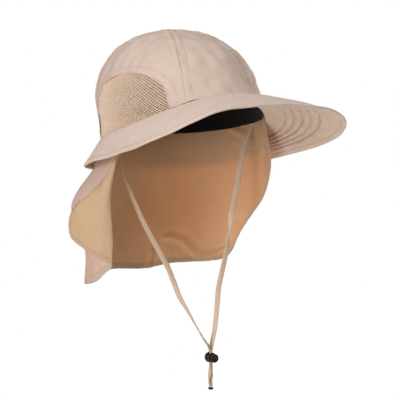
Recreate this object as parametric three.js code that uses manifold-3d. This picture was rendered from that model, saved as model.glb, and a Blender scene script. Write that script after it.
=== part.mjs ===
// Sun hat with neck cape: paneled crown with mesh side windows, drooping brim, sweatband,
// neck cape with its near front corner folded back, and a flat-lace chin cord with a lock.
// Millimetres, +Z up, the wearer looks along -Y and the wearer's left is +X.
// The origin is the middle of the head opening, where the hat sits on a head.
import * as THREE from 'three';
import * as BufferGeometryUtils from 'three/addons/utils/BufferGeometryUtils.js';
import Module from 'manifold-3d';

const wasm = await Module();
wasm.setup();

// Driving dimensions
const headHalfWidth = 82.7; // outside of the crown at the brim seam, side to side
const headHalfLength = 100.2; // the same, front to rear
const hatTilt = 8.6; // degrees, front up, as worn
const clearance = 0.35; // gap between neighbouring pieces

const crownHeight = 96; // head opening to apex
const crownWall = 1.2;
const crownShoulder = 2.6; // exponent of the dome's profile, larger is boxier
const frontLean = 12; // the crown leans back this far just above the brim
const apexShift = 22; // and this much further towards its apex
const leanReach = 0.19; // share of the height over which the front lean builds up
const leanBend = 1.5; // how softly it starts
const apexBend = 2.8; // how late the apex shift starts
const frontPanelHalfAngle = 18; // degrees, seams beside the front panel
const rearPanelHalfAngle = 72; // degrees, seams beside the rear panel

const seamRiseFront = 4.8; // brim seam above the head opening, in front
const seamDropSide = 17.6; // and below it at the sides
const seamDropRear = 14.6; // and at the rear
const seamBend = 1.7; // how late the front arch of the seam starts

const brimThickness = 2.4;
const brimFrontReach = 100; // crown to edge
const brimSideReach = 22;
const brimRearReach = 11;
const brimFrontDrop = 20.8; // edge below the head opening
const brimSideDrop = 46.4;
const brimRearDrop = 43.4;
const brimSquareness = 0.46; // exponent of the front's plan outline, smaller is squarer
const brimArch = 3.1; // how late the side droop starts
const brimBow = 4; // upward bow of the front between seam and edge

const windowTop = 40; // top of the mesh window above the head opening
const windowFront = 80; // front end ahead of the middle
const windowRear = 50; // rear end behind the middle
const windowArch = 2.4; // exponent of the arch outline
const meshThickness = 0.8;

const bandThickness = 1.6;
const bandTop = 26; // top of the sweatband above the head opening

const capeThickness = 1;
const capeClearance = 0.9; // gap on each side of the cape between crown and sweatband
const belowSeam = 3; // the cape hangs straight to this far below the brim seam
const capeTuck = 5; // part of the cape that goes up behind the sweatband
const capeDrop = 176; // head opening to the lowest point of the hem
const capeFlare = 44; // furthest that the cape stands out from the head opening

const laceWidth = 5.5;
const laceThickness = 1.6;
const tailWidth = 4.5; // the two ends below the lock, one on the other
const tailThickness = 2.4;
const lockRadius = 5.2;
const lockLength = 9;
const boreRadius = 3; // bore of the lock's plunger
const buttonRadius = 4.6;
const buttonThickness = 2.2;
const plungerStroke = 2.8;
const mouthPlay = 2.2; // room round the lace in the lock's mouth
const mouthStep = 0.6; // from the plunger's bore to the mouth on each side
const lockFloor = 1.5; // wall behind the bore
const lockRim = 0.8; // bevel of the lock's edges
const buttonRim = 0.5; // and of its button's
const tipWidth = 5.6;
const tipThickness = 2.8;
const tipLength = 3;

// Lower edge of the sweatband, as shares of the side drop of the seam
const bandEdge = [
  { angle: 0, drop: -0.1 },
  { angle: 30, drop: 0.25 },
  { angle: 55, drop: 0.62 },
  { angle: 75, drop: 0.53 },
  { angle: 100, drop: 0.48 },
  { angle: 180, drop: 0.29 },
];

// Neck cape, a row for each fold line from the left temple round the back to the right temple.
// Angles are degrees round the head from the front, over the left side. attach is where the row
// leaves the sweatband, and high, mid, low and hem are where it passes at these shares of its
// drop. Each Out is a share of capeFlare, and drop is a share of capeDrop.
const capeLevels = { high: 0.3, mid: 0.55, low: 0.8, hem: 1 };
const capeColumns = [
  'attach', 'high', 'mid', 'low', 'hem', 'highOut', 'midOut', 'lowOut', 'hemOut', 'drop',
];
const capeRows = [
  [58, 64, 82, 106, 116, 0.2, 0.23, 0.265, 0.29, 0.875],
  [76, 79, 94, 113, 122, 0.19, 0.23, 0.265, 0.29, 0.9],
  [97, 99, 108, 123, 130, 0.15, 0.21, 0.25, 0.28, 0.915],
  [120, 121, 127, 137, 142, 0.06, 0.18, 0.22, 0.25, 0.925],
  [146, 146, 149, 154, 157, -0.03, 0.16, 0.21, 0.23, 0.935],
  [173, 173, 174, 174, 174, -0.03, 0.17, 0.22, 0.24, 0.965],
  [200, 200, 200, 200, 201, -0.03, 0.22, 0.26, 0.28, 0.955],
  [222, 222, 221, 222, 226, 0.1, 0.48, 0.34, 0.34, 0.965],
  [238, 238, 236, 239, 244, 0.2, 0.74, 0.42, 0.45, 1],
  [253, 253, 251, 256, 266, 0.2, 0.68, 0.42, 0.38, 0.965],
  [266, 266, 266, 270, 275, 0.12, 0.4, 0.34, 0.34, 0.91],
  [276, 276, 279, 281, 281, 0.12, 0.24, 0.25, 0.28, 0.86],
  [282, 281, 279, 278, 277, 0.13, 0.33, 0.44, 0.45, 0.83],
  [288, 283, 275, 271, 268, 0.15, 0.42, 0.64, 0.64, 0.78],
  [295, 284, 274, 266, 256, 0.17, 0.36, 0.74, 0.84, 0.705],
  [302, 285, 275, 263, 248, 0.18, 0.27, 0.8, 0.96, 0.64],
].map((row) => Object.fromEntries(capeColumns.map((name, i) => [name, row[i]])));

// Routes of the chin cord, hand-chosen points from the sweatband down to the lock
const laceRight = [
  [-73.6, 5, -6], [-73.6, 4.6, -18], [-73.6, 4.2, -30], [-72.6, 3.8, -43], [-68, 2.8, -58.5],
  [-61, 1.7, -75], [-54.3, 0.6, -90.7], [-47.3, -0.4, -106.4], [-39.5, -1.7, -121.2],
  [-31.3, -3, -135.9], [-19.4, -4.9, -158.3], [-12.8, -5.9, -174.3], [-6.4, -6.9, -190.3],
  [0.8, -8.6, -202.8], [7.8, -10, -215.2], [18.4, -12.4, -234], [24.2, -13.1, -242.5],
  [27.2, -13.4, -250],
];
const laceLeft = [
  [73.6, -9.5, -6], [73.2, -11, -11.9], [69.6, -11.1, -28], [65, -11.2, -44.2],
  [61.7, -11.3, -60.6], [58.7, -11.3, -77.1], [55.2, -11.4, -92], [52.1, -11.5, -106.7], [50.7, -11.5, -119],
  [49.5, -11.5, -131.1], [44.8, -11.6, -150], [40.8, -11.7, -165.8], [37, -11.8, -181.6],
  [34.6, -11.9, -205.9], [32.6, -11.4, -225], [30, -10.8, -238], [27.6, -10.6, -250],
];
const laceTails = [
  [27.3, -12, -259.2], [27.6, -12, -265], [28, -12.1, -272], [28, -12.2, -279], [27.4, -12.2, -286],
];
const lockCentre = new THREE.Vector3(27.3, -12, -254.7);

const weldDistance = 1e-4;
const radians = THREE.MathUtils.degToRad;
const tilt = new THREE.Matrix4().makeRotationX(-radians(hatTilt));

// Height of the brim seam at an angle from the front
function seamHeight(angle) {
  const side = Math.abs(Math.sin(angle));
  if (Math.cos(angle) > 0) return seamRiseFront - (seamRiseFront + seamDropSide) * side ** seamBend;
  return -seamDropRear - (seamDropSide - seamDropRear) * side ** 2;
}

// Smooth reading of a table of rows by one of its columns
function readTable(rows, key, column, at) {
  let next = rows.findIndex((row) => row[key] >= at);
  if (next < 1) next = 1;
  const last = rows[next - 1];
  const share = (at - last[key]) / (rows[next][key] - last[key]);
  return THREE.MathUtils.lerp(last[column], rows[next][column], THREE.MathUtils.smoothstep(share, 0, 1));
}

function bandEdgeHeight(angle) {
  const fromFront = THREE.MathUtils.radToDeg(Math.acos(Math.cos(angle)));
  return -seamDropSide * readTable(bandEdge, 'angle', 'drop', fromFront);
}

// Share of the full plan size that the dome has at a height
function domeShare(height, top) {
  const share = Math.min(Math.max(height, 0) / top, 1);
  return Math.sqrt(1 - share ** crownShoulder);
}

// Point of the crown, inset from its outer face
function crownPoint(angle, height, inset) {
  const top = crownHeight - inset;
  const size = domeShare(height, top);
  const share = Math.max(height, 0) / top;
  const lean = 1 - Math.exp(-((share / leanReach) ** leanBend));
  const back = frontLean * lean + apexShift * share ** apexBend;
  return new THREE.Vector3(
    (headHalfWidth - inset) * size * Math.sin(angle),
    -(headHalfLength - inset) * size * Math.cos(angle) + back,
    height,
  );
}

// Geometry from a list of triangles' corners, turned outward
function solidFromCorners(corners) {
  const numbers = corners.flatMap((p) => [p.x, p.y, p.z]);
  let geometry = new THREE.BufferGeometry();
  geometry.setAttribute('position', new THREE.Float32BufferAttribute(numbers, 3));
  geometry = BufferGeometryUtils.mergeVertices(geometry, weldDistance);
  const source = geometry.getIndex().array;
  const position = geometry.getAttribute('position');
  const [a, b, c] = [new THREE.Vector3(), new THREE.Vector3(), new THREE.Vector3()];
  const kept = [];
  let volume = 0;
  for (let i = 0; i < source.length; i += 3) {
    const [p, q, r] = [source[i], source[i + 1], source[i + 2]];
    if (p === q || q === r || r === p) continue;
    kept.push(p, q, r);
    a.fromBufferAttribute(position, p);
    b.fromBufferAttribute(position, q);
    c.fromBufferAttribute(position, r);
    volume += a.dot(b.cross(c));
  }
  if (volume < 0) kept.reverse();
  geometry.setIndex(kept);
  return geometry;
}

// Closed solid between two grids of points. It wraps round in the first direction if asked, and
// closes to a point at the end of the second.
function solidBetween(outer, inner, { wraps = false, capped = false } = {}) {
  const corners = [];
  const quad = (p, q, r, s) => corners.push(p, q, r, p, r, s);
  const columns = outer.length;
  const rows = outer[0].length;
  for (let i = 0; i < (wraps ? columns : columns - 1); i++) {
    const j = (i + 1) % columns;
    for (let k = 0; k < rows - 1; k++) {
      quad(outer[i][k], outer[j][k], outer[j][k + 1], outer[i][k + 1]);
      quad(inner[i][k], inner[i][k + 1], inner[j][k + 1], inner[j][k]);
    }
    quad(outer[i][0], inner[i][0], inner[j][0], outer[j][0]);
    const end = rows - 1;
    if (!capped) quad(outer[i][end], outer[j][end], inner[j][end], inner[i][end]);
  }
  if (!wraps) {
    const end = columns - 1;
    for (let k = 0; k < rows - 1; k++) {
      quad(outer[0][k], outer[0][k + 1], inner[0][k + 1], inner[0][k]);
      quad(outer[end][k], inner[end][k], inner[end][k + 1], outer[end][k + 1]);
    }
  }
  return solidFromCorners(corners);
}

// Solid of even thickness round a middle surface given as a grid
function thickened(grid, thickness, wraps) {
  const columns = grid.length;
  const rows = grid[0].length;
  const offset = (side) => grid.map((line, i) => line.map((point, k) => {
    const before = wraps ? (i + columns - 1) % columns : Math.max(i - 1, 0);
    const after = wraps ? (i + 1) % columns : Math.min(i + 1, columns - 1);
    const along = grid[after][k].clone().sub(grid[before][k]);
    const down = grid[i][Math.min(k + 1, rows - 1)].clone().sub(grid[i][Math.max(k - 1, 0)]);
    return point.clone().addScaledVector(along.cross(down).normalize(), side * thickness / 2);
  }));
  return solidBetween(offset(1), offset(-1), { wraps });
}

// Solids for cutting and joining
function toSolid(geometry) {
  const bare = geometry.clone();
  bare.deleteAttribute('normal');
  bare.deleteAttribute('uv');
  const merged = BufferGeometryUtils.mergeVertices(bare, weldDistance);
  return new wasm.Manifold(new wasm.Mesh({
    numProp: 3,
    vertProperties: new Float32Array(merged.getAttribute('position').array),
    triVerts: new Uint32Array(merged.getIndex().array),
  }));
}

function fromSolid(solid) {
  const mesh = solid.getMesh();
  const geometry = new THREE.BufferGeometry();
  const numbers = new Float32Array(mesh.vertProperties);
  geometry.setAttribute('position', new THREE.BufferAttribute(numbers, 3));
  geometry.setIndex(new THREE.BufferAttribute(new Uint32Array(mesh.triVerts), 1));
  return geometry;
}

function extruded(shape, depth) {
  return new THREE.ExtrudeGeometry(shape, { depth, bevelEnabled: false, curveSegments: 10 });
}

// Crown: one dome wall, cut into panels and pierced by the window
const crownColumns = 48;
const crownLevels = 11;

function domeWall(insetOut, insetIn, lift) {
  const face = (inset) => Array.from({ length: crownColumns }, (_, i) => {
    const angle = i / crownColumns * 2 * Math.PI;
    const base = seamHeight(angle) + lift;
    const top = crownHeight - inset;
    return Array.from({ length: crownLevels + 1 }, (__, k) => {
      const height = base + (top - base) * Math.sin(k / crownLevels * Math.PI / 2);
      return k === crownLevels ? crownPoint(0, top, inset) : crownPoint(angle, height, inset);
    });
  });
  return toSolid(solidBetween(face(insetOut), face(insetIn), { wraps: true, capped: true }));
}

// Block over a range of angles, for cutting a panel out of the dome
function panelWedge(from, to) {
  const reach = 3 * headHalfLength;
  const shape = new THREE.Shape();
  const middle = (from + to) / 2;
  const shift = clearance / 2 / Math.sin((to - from) / 2);
  const tip = new THREE.Vector2(Math.sin(middle), -Math.cos(middle)).multiplyScalar(shift);
  tip.y += frontLean + apexShift;
  shape.moveTo(tip.x, tip.y);
  const steps = 6;
  for (let i = 0; i <= steps; i++) {
    const angle = from + (to - from) * i / steps;
    shape.lineTo(tip.x + reach * Math.sin(angle), tip.y - reach * Math.cos(angle));
  }
  shape.closePath();
  return toSolid(extruded(shape, 4 * crownHeight).translate(0, 0, -2 * crownHeight));
}

// Block through both sides of the crown with the outline of the mesh window, grown by a margin
function windowBlock(margin) {
  const middle = (windowRear - windowFront) / 2;
  const half = (windowRear + windowFront) / 2 + margin;
  const sill = -2 * seamDropSide;
  const rise = windowTop + margin - sill;
  const shape = new THREE.Shape();
  const steps = 22;
  for (let i = 0; i <= steps; i++) {
    const across = -Math.cos(i / steps * Math.PI);
    const up = (1 - Math.abs(across) ** windowArch) ** (1 / windowArch);
    const point = [middle + half * across, sill + rise * up];
    if (i === 0) shape.moveTo(...point);
    else shape.lineTo(...point);
  }
  shape.closePath();
  const depth = 3 * headHalfWidth;
  const block = extruded(shape, depth);
  // The shape's x runs to the rear, its y up, and the block goes through from side to side
  block.applyMatrix4(new THREE.Matrix4().makeBasis(
    new THREE.Vector3(0, 1, 0), new THREE.Vector3(0, 0, 1), new THREE.Vector3(1, 0, 0),
  ));
  return toSolid(block.translate(-depth / 2, 0, 0));
}

const crownLift = brimThickness / 2 + clearance;
const crownDome = domeWall(0, crownWall, crownLift).subtract(windowBlock(clearance));
const meshInset = (crownWall - meshThickness) / 2;
const meshDome = domeWall(meshInset, meshInset + meshThickness, crownLift).intersect(windowBlock(0));

const frontEnd = radians(frontPanelHalfAngle);
const rearEnd = Math.PI - radians(rearPanelHalfAngle);

// Brim: a ring from the seam out to a rounded, drooping edge
function brimPoint(angle, share) {
  const side = Math.sin(angle);
  const ahead = Math.cos(angle);
  const halfWidth = headHalfWidth + brimSideReach;
  const halfLength = headHalfLength + (ahead > 0 ? brimFrontReach : brimRearReach);
  const bend = ahead > 0 ? brimSquareness : 1;
  const edgeX = halfWidth * Math.sign(side) * Math.abs(side) ** bend;
  const edgeY = -halfLength * Math.sign(ahead) * Math.abs(ahead) ** bend;
  const wide = Math.abs(edgeX) / halfWidth;
  const nearDrop = ahead > 0 ? brimFrontDrop : brimRearDrop;
  const edgeZ = -nearDrop - (brimSideDrop - nearDrop) * wide ** (ahead > 0 ? brimArch : 2);
  const root = crownPoint(angle, seamHeight(angle), crownWall / 2);
  const bow = brimBow * Math.max(ahead, 0) * Math.sin(share * Math.PI);
  return new THREE.Vector3(
    THREE.MathUtils.lerp(root.x, edgeX, share),
    THREE.MathUtils.lerp(root.y, edgeY, share),
    THREE.MathUtils.lerp(root.z, edgeZ, share) + bow,
  );
}

function brimGeometry() {
  const columns = 72;
  const rows = 6;
  const grid = Array.from({ length: columns }, (_, i) => {
    const angle = i / columns * 2 * Math.PI;
    return Array.from({ length: rows + 1 }, (__, k) => brimPoint(angle, k / rows));
  });
  return thickened(grid, brimThickness, true);
}

// Sweatband: a ring that follows the crown's inside
const capeInset = crownWall + capeClearance;
const bandInset = capeInset + capeThickness + capeClearance;

function bandGeometry() {
  const columns = 48;
  const rows = 5;
  const face = (inset) => Array.from({ length: columns }, (_, i) => {
    const angle = i / columns * 2 * Math.PI;
    const low = bandEdgeHeight(angle);
    return Array.from({ length: rows + 1 }, (__, k) => {
      const height = THREE.MathUtils.lerp(low, bandTop, k / rows);
      return crownPoint(angle, height, inset);
    });
  });
  return solidBetween(face(bandInset), face(bandInset + bandThickness), { wraps: true });
}

// Neck cape: each row of the table gives a line from behind the sweatband to the hem, and the
// sheet runs smoothly through the lines
function capeLine(row) {
  const attach = radians(row.attach);
  const middleInset = capeInset + capeThickness / 2;
  const edge = bandEdgeHeight(attach);
  const heights = [edge + capeTuck, edge, Math.min(edge, seamHeight(attach)) - belowSeam];
  const points = heights.map((height) => crownPoint(attach, height, middleInset).applyMatrix4(tilt));
  const fall = row.drop * capeDrop;
  for (const level of ['high', 'mid', 'low', 'hem']) {
    const angle = radians(row[level]);
    const out = row[`${level}Out`] * capeFlare - middleInset;
    points.push(new THREE.Vector3(
      (headHalfWidth + out) * Math.sin(angle),
      -(headHalfLength + out) * Math.cos(angle),
      -fall * capeLevels[level],
    ));
  }
  return new THREE.CatmullRomCurve3(points, false, 'centripetal');
}

function capeGeometry() {
  const linePoints = 12;
  const columns = 48;
  const lines = capeRows.map((row) => capeLine(row).getPoints(linePoints));
  const across = Array.from({ length: linePoints + 1 }, (_, k) => {
    const curve = new THREE.CatmullRomCurve3(lines.map((line) => line[k]), false, 'centripetal');
    return curve.getPoints(columns);
  });
  const grid = Array.from({ length: columns + 1 }, (_, i) => across.map((points) => points[i]));
  return thickened(grid, capeThickness, false);
}

// Chin cord: flat lace swept along its route
function laceGeometry({ route, width, thickness, steps }) {
  const sides = 8;
  const outline = Array.from({ length: sides }, (_, i) => {
    const angle = (i + 0.5) * 2 * Math.PI / sides;
    return new THREE.Vector2(width / 2 * Math.cos(angle), thickness / 2 * Math.sin(angle));
  });
  const curve = new THREE.CatmullRomCurve3(route.map((p) => new THREE.Vector3(...p)));
  return new THREE.ExtrudeGeometry(new THREE.Shape(outline), { steps, extrudePath: curve });
}

// Cord lock: a barrel lying front to rear with a bore for its plunger and a mouth for the lace
function lockBodyGeometry() {
  const half = lockLength / 2;
  const profile = [
    [0, -half], [lockRadius - lockRim, -half], [lockRadius, -half + lockRim],
    [lockRadius, half - lockRim], [lockRadius - lockRim, half], [0, half],
  ].map((p) => new THREE.Vector2(...p));
  const barrel = toSolid(new THREE.LatheGeometry(profile, 28));
  const boreDepth = lockLength - lockFloor;
  const bore = new THREE.CylinderGeometry(boreRadius, boreRadius, boreDepth, 20);
  bore.translate(0, -half + boreDepth / 2 - clearance, 0);
  const mouthWidth = laceWidth + mouthPlay / 2;
  const mouthLength = 2 * laceThickness + mouthPlay;
  const mouthHeight = lockRadius - boreRadius;
  const mouth = (side) => {
    const block = new THREE.BoxGeometry(mouthWidth, mouthLength, mouthHeight);
    block.translate(0, 0, side * (boreRadius + mouthStep + mouthHeight / 2));
    return toSolid(block);
  };
  return fromSolid(barrel.subtract(toSolid(bore)).subtract(mouth(1)).subtract(mouth(-1)));
}

function plungerGeometry() {
  const front = -lockLength / 2 - plungerStroke - clearance;
  const face = front - buttonThickness;
  const stemEnd = lockLength / 2 - lockFloor - 2 * clearance - plungerStroke;
  const stemRadius = boreRadius - clearance;
  const profile = [
    [0, face], [buttonRadius - buttonRim, face], [buttonRadius, face + buttonRim],
    [buttonRadius, front], [stemRadius, front], [stemRadius, stemEnd], [0, stemEnd],
  ].map((p) => new THREE.Vector2(...p));
  return new THREE.LatheGeometry(profile, 24);
}

// The object
const plain = (color, roughness) => new THREE.MeshStandardMaterial({ color, roughness, metalness: 0 });
const hat = new THREE.Group();
const crownGroup = new THREE.Group();
crownGroup.rotation.x = -radians(hatTilt);
hat.add(crownGroup);

function addPiece(parent, name, geometry, material) {
  const mesh = new THREE.Mesh(geometry, material);
  mesh.name = name;
  parent.add(mesh);
  return mesh;
}

const panels = [
  { name: 'crown_front', from: -frontEnd, to: frontEnd },
  { name: 'crown_side_left', from: frontEnd, to: rearEnd },
  { name: 'crown_rear', from: rearEnd, to: 2 * Math.PI - rearEnd },
  { name: 'crown_side_right', from: 2 * Math.PI - rearEnd, to: 2 * Math.PI - frontEnd },
];
for (const panel of panels) {
  const geometry = fromSolid(crownDome.intersect(panelWedge(panel.from, panel.to)));
  addPiece(crownGroup, panel.name, geometry, plain('#d4bcae', 0.85));
}
const sides = [
  { name: 'mesh_panel_left', from: 0, to: Math.PI },
  { name: 'mesh_panel_right', from: Math.PI, to: 2 * Math.PI },
];
for (const side of sides) {
  const geometry = fromSolid(meshDome.intersect(panelWedge(side.from, side.to)));
  addPiece(crownGroup, side.name, geometry, plain('#ccb09e', 0.9));
}
addPiece(crownGroup, 'brim', brimGeometry(), plain('#dccabd', 0.85));
addPiece(crownGroup, 'sweatband', bandGeometry(), plain('#0c0a0c', 0.95));
addPiece(hat, 'neck_cape', capeGeometry(), plain('#b48864', 0.85));
const laces = [
  { name: 'chin_cord_right', route: laceRight, width: laceWidth, thickness: laceThickness, steps: 26 },
  { name: 'chin_cord_left', route: laceLeft, width: laceWidth, thickness: laceThickness, steps: 26 },
  { name: 'cord_tails', route: laceTails, width: tailWidth, thickness: tailThickness, steps: 6 },
];
for (const lace of laces) {
  addPiece(hat, lace.name, laceGeometry(lace), plain('#cdb3a0', 0.8));
}

const lock = new THREE.Group();
lock.position.copy(lockCentre);
hat.add(lock);
addPiece(lock, 'cord_lock_body', lockBodyGeometry(), plain('#1c191a', 0.4));
addPiece(lock, 'cord_lock_plunger', plungerGeometry(), plain('#1c191a', 0.4));
const [tipX, tipY, tipTop] = laceTails[laceTails.length - 1];
const tipGeometry = new THREE.BoxGeometry(tipWidth, tipThickness, tipLength);
const tip = addPiece(hat, 'cord_tip', tipGeometry, plain('#1c191a', 0.5));
tip.position.set(tipX, tipY, tipTop - clearance - tipLength / 2);

export default hat;
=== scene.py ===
import math

import bmesh
import bpy
import numpy as np
from bpy.props import FloatProperty, FloatVectorProperty, PointerProperty
from mathutils import Matrix, Vector
from mathutils.bvhtree import BVHTree
from mathutils.kdtree import KDTree


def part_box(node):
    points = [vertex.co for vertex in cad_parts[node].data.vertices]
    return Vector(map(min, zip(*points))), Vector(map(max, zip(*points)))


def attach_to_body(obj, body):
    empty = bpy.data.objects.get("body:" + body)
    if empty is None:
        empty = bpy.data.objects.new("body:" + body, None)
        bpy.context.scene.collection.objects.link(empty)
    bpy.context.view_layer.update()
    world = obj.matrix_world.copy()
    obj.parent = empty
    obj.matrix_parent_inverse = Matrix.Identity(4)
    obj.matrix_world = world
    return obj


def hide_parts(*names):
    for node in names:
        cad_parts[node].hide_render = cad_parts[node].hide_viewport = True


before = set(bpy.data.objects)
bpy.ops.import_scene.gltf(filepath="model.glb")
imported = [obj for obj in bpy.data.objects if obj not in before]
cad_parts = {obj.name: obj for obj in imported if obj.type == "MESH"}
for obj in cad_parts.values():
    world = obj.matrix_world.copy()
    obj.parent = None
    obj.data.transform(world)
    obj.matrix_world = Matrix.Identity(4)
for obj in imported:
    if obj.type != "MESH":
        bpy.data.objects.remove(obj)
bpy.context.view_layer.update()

bl_info = {
    "name": "Sun hat with neck cape",
    "version": (1, 0, 0),
    "blender": (4, 5, 0),
    "location": "View3D > Sidebar > Hat",
    "description": "Builds a soft sun hat with net windows, neck cape and chin cord",
    "category": "Add Mesh",
}

MM = 0.001


def linear(code):
    """Linear colour of an sRGB hex value."""
    parts = [int(code[i:i + 2], 16) / 255 for i in (1, 3, 5)]
    return tuple(c / 12.92 if c <= 0.04045 else ((c + 0.055) / 1.055) ** 2.4 for c in parts)


# The hat's form, in millimetres, in the frame of the untilted crown
HEAD_HALF_WIDTH = 82.7
HEAD_HALF_LENGTH = 100.2
TILT = math.radians(8.6)
CLEARANCE = 0.35
CROWN_HEIGHT = 96
CROWN_WALL = 1.2
CROWN_SHOULDER = 2.6
CROWN_RADIUS = 95
FRONT_LEAN = 12
APEX_SHIFT = 22
LEAN_REACH = 0.19
LEAN_BEND = 1.5
APEX_BEND = 2.8
FRONT_SEAM = math.radians(18)
REAR_SEAM = math.radians(108)
SEAM_RISE_FRONT = 4.8
SEAM_DROP_SIDE = 17.6
SEAM_DROP_REAR = 14.6
SEAM_BEND = 1.7
BRIM_THICKNESS = 2.4
BRIM_FRONT_REACH = 100
BRIM_SIDE_REACH = 22
BRIM_REAR_REACH = 11
BRIM_FRONT_DROP = 20.8
BRIM_SIDE_DROP = 46.4
BRIM_REAR_DROP = 43.4
BRIM_SQUARENESS = 0.46
BRIM_ARCH = 3.1
BRIM_BOW = 4
QUILT_ROWS = 5
QUILT_FIRST = 0.27
QUILT_STEP = 0.107
QUILT_END = 1.75
WINDOW_TOP = 40
WINDOW_FRONT = 80
WINDOW_REAR = 50
WINDOW_ARCH = 2.4
WINDOW_MIDDLE = (WINDOW_REAR - WINDOW_FRONT) / 2
WINDOW_HALF = (WINDOW_REAR + WINDOW_FRONT) / 2
WINDOW_SILL = -2 * SEAM_DROP_SIDE
NET_INSET = 0.95
NET_OVERLAP = 3.2
BAND_THICKNESS = 1.6
BAND_TOP = 26
CAPE_THICKNESS = 1
CAPE_CLEARANCE = 0.9
BELOW_SEAM = 3
CAPE_TUCK = 5
CAPE_DROP = 176
CAPE_FLARE = 44
# About the width and drop of the cape's cloth, and the ratio of the two on its true surface
CAPE_WIDE = 380
CAPE_LONG = 175
WIDTH_TO_DROP = 2.25
# How far its rounded lower corners reach, as shares of the drop
CAPE_CORNER_LEFT = 0.06
CAPE_CORNER_RIGHT = 0.19
CAPE_INSET = CROWN_WALL + CAPE_CLEARANCE
BAND_INSET = CAPE_INSET + CAPE_THICKNESS + CAPE_CLEARANCE
TIP_Y = FRONT_LEAN + APEX_SHIFT
CROWN_LIFT = BRIM_THICKNESS / 2 + CLEARANCE

# Details that only the drawn cloth has, in millimetres: the walls of the cloth, the rows of sewing
# from their seam or edge, and how deep a stitch sinks into the cloth
CROWN_CLOTH = 0.8
CAPE_HEM = 1.3
SEAM_STITCH = 2
TOP_STITCH = 6.6
WINDOW_STITCHES = (1.6, 6.8)
BRIM_STITCH = 5.6
CAPE_STITCH = 5.4
STITCH_SINK = 0.1
CAPE_PIPING_LEFT = 1.7
CAPE_PIPING_RIGHT = 1.3
CROWN_PIPING = 1.9
# Distances from an edge at which a cloth's grid has its closest lines
SEAM_STEPS = [0, 0.5, 1, 1.5, 2.2, 3, 4, 5, 5.8, 6.3, 6.8, 7.4, 8.4]
HEM_STEPS = [0, 0.6, 1.4, 3, 4.6, CAPE_STITCH, 6, 6.8, 8.5, 11]
# Share of the light that the cape's cloth lets through
CAPE_LETS_THROUGH = 0.36
# Height of the cloth's threads, in metres, and the scale at which a wave is one metre long
THREAD_RELIEF = 0.00012
METRE_WAVE = 0.314

# Lower edge of the sweatband: degrees from the front, share of the side drop
BAND_EDGE = [(0, -0.1), (30, 0.25), (55, 0.62), (75, 0.53), (100, 0.48), (180, 0.29)]

# Fold lines of the cape: angles where it passes its attachment and four levels, how far it
# stands out there, and its drop
CAPE_LEVELS = (0.3, 0.55, 0.8, 1)
CAPE_ROWS = [
    (58, 64, 82, 106, 116, 0.2, 0.23, 0.265, 0.29, 0.875),
    (76, 79, 94, 113, 122, 0.19, 0.23, 0.265, 0.29, 0.9),
    (97, 99, 108, 123, 130, 0.15, 0.21, 0.25, 0.28, 0.915),
    (120, 121, 127, 137, 142, 0.06, 0.18, 0.22, 0.25, 0.925),
    (146, 146, 149, 154, 157, -0.03, 0.16, 0.21, 0.23, 0.935),
    (173, 173, 174, 174, 174, -0.03, 0.17, 0.22, 0.24, 0.965),
    (200, 200, 200, 200, 201, -0.03, 0.22, 0.26, 0.28, 0.955),
    (222, 222, 221, 222, 226, 0.1, 0.48, 0.34, 0.34, 0.965),
    (238, 238, 236, 239, 244, 0.2, 0.74, 0.42, 0.45, 1),
    (253, 253, 251, 256, 266, 0.2, 0.68, 0.42, 0.38, 0.965),
    (266, 266, 266, 270, 275, 0.12, 0.4, 0.34, 0.34, 0.91),
    (276, 276, 279, 281, 281, 0.12, 0.24, 0.25, 0.28, 0.86),
    (282, 281, 279, 278, 277, 0.13, 0.33, 0.44, 0.45, 0.83),
    (288, 283, 275, 271, 268, 0.15, 0.42, 0.64, 0.64, 0.78),
    (295, 284, 274, 266, 256, 0.17, 0.36, 0.74, 0.84, 0.705),
    (302, 285, 275, 263, 248, 0.18, 0.27, 0.8, 0.96, 0.64),
]

# Creases of the cape's cloth as shares of its width and drop, with their height and breadth
CAPE_CREASES = [
    ([(0.29, 0.84), (0.27, 0.85), (0.24, 0.88), (0.21, 0.93), (0.19, 0.96), (0.16, 0.97),
      (0.12, 0.96), (0.07, 0.94)], 1.7, 2.6),
    ([(0.17, 0.18), (0.14, 0.28), (0.11, 0.35), (0.07, 0.44)], 1.4, 3),
    ([(0.32, 0.91), (0.33, 1)], 1.8, 2.4),
]

# Routes of the chin cord, from the sweatband down to the lock
LACE_RIGHT = [
    (-79.2, 5, -6), (-78.4, 4.8, -13), (-75, 4.4, -24), (-73.2, 4.1, -34), (-68, 2.8, -58.5),
    (-61, 1.7, -75), (-54.3, 0.6, -90.7), (-47.3, -0.4, -106.4), (-39.5, -1.7, -121.2),
    (-31.3, -3, -135.9), (-19.4, -4.9, -158.3), (-12.8, -5.9, -174.3), (-6.4, -6.9, -190.3),
    (0.8, -8.6, -202.8), (7.8, -10, -215.2), (18.4, -12.4, -234), (24.2, -13.1, -242.5),
    (27.2, -13.4, -250),
]
LACE_LEFT = [
    (79.2, -9.7, -4.5), (78.2, -10.4, -10), (74.6, -11, -17), (69.6, -11.1, -28), (65, -11.2, -44.2),
    (61.7, -11.3, -60.6), (58.7, -11.3, -77.1), (55.2, -11.4, -92), (52.1, -11.5, -106.7),
    (50.7, -11.5, -119), (49.5, -11.5, -131.1), (44.8, -11.6, -150), (40.8, -11.7, -165.8),
    (37, -11.8, -181.6), (34.6, -11.9, -205.9), (32.6, -11.4, -225), (30, -10.8, -238),
    (27.6, -10.6, -250),
]
LACE_TAILS = [
    (27.3, -12, -259.2), (27.6, -12, -265), (28, -12.1, -272), (28, -12.2, -279),
    (27.4, -12.2, -286),
]
# How far each of the two cord ends hangs to the side of that line
TAIL_SWAY = [(0.5, 1.5, 1.3, -0.2, 1.4), (-0.5, -0.7, -2.2, -3, -0.4)]
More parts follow.
